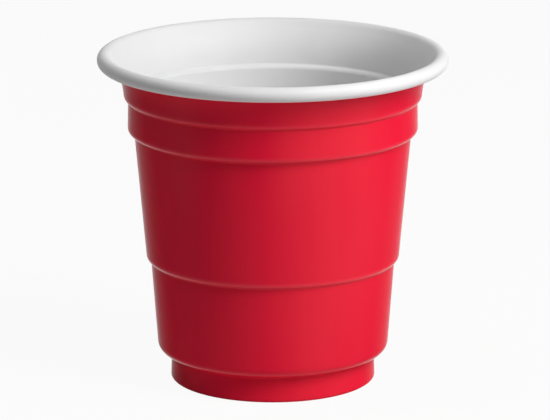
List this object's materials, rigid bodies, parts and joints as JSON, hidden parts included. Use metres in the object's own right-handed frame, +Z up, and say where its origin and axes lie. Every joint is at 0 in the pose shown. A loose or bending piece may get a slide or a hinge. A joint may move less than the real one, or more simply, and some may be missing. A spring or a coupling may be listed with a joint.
{
  "type": "party cup",
  "caption": "Small tapered party cup formed from one thin plastic sheet, with a rolled rim, a stacking band, ledges around the wall and a narrow foot.",
  "frame": {"origin": "centre of the standing ring, on the table", "axes": "+Z up along the cup's axis towards the rim; the cup is round, so X and Y are interchangeable"},
  "size_m": [0.06, 0.06, 0.0573],
  "materials": {
    "sheet": "glossy red outside; the inside and the rolled rim are white"
  },
  "bodies": {
    "root": {"cup": "sheet"}
  },
  "joints": []
}
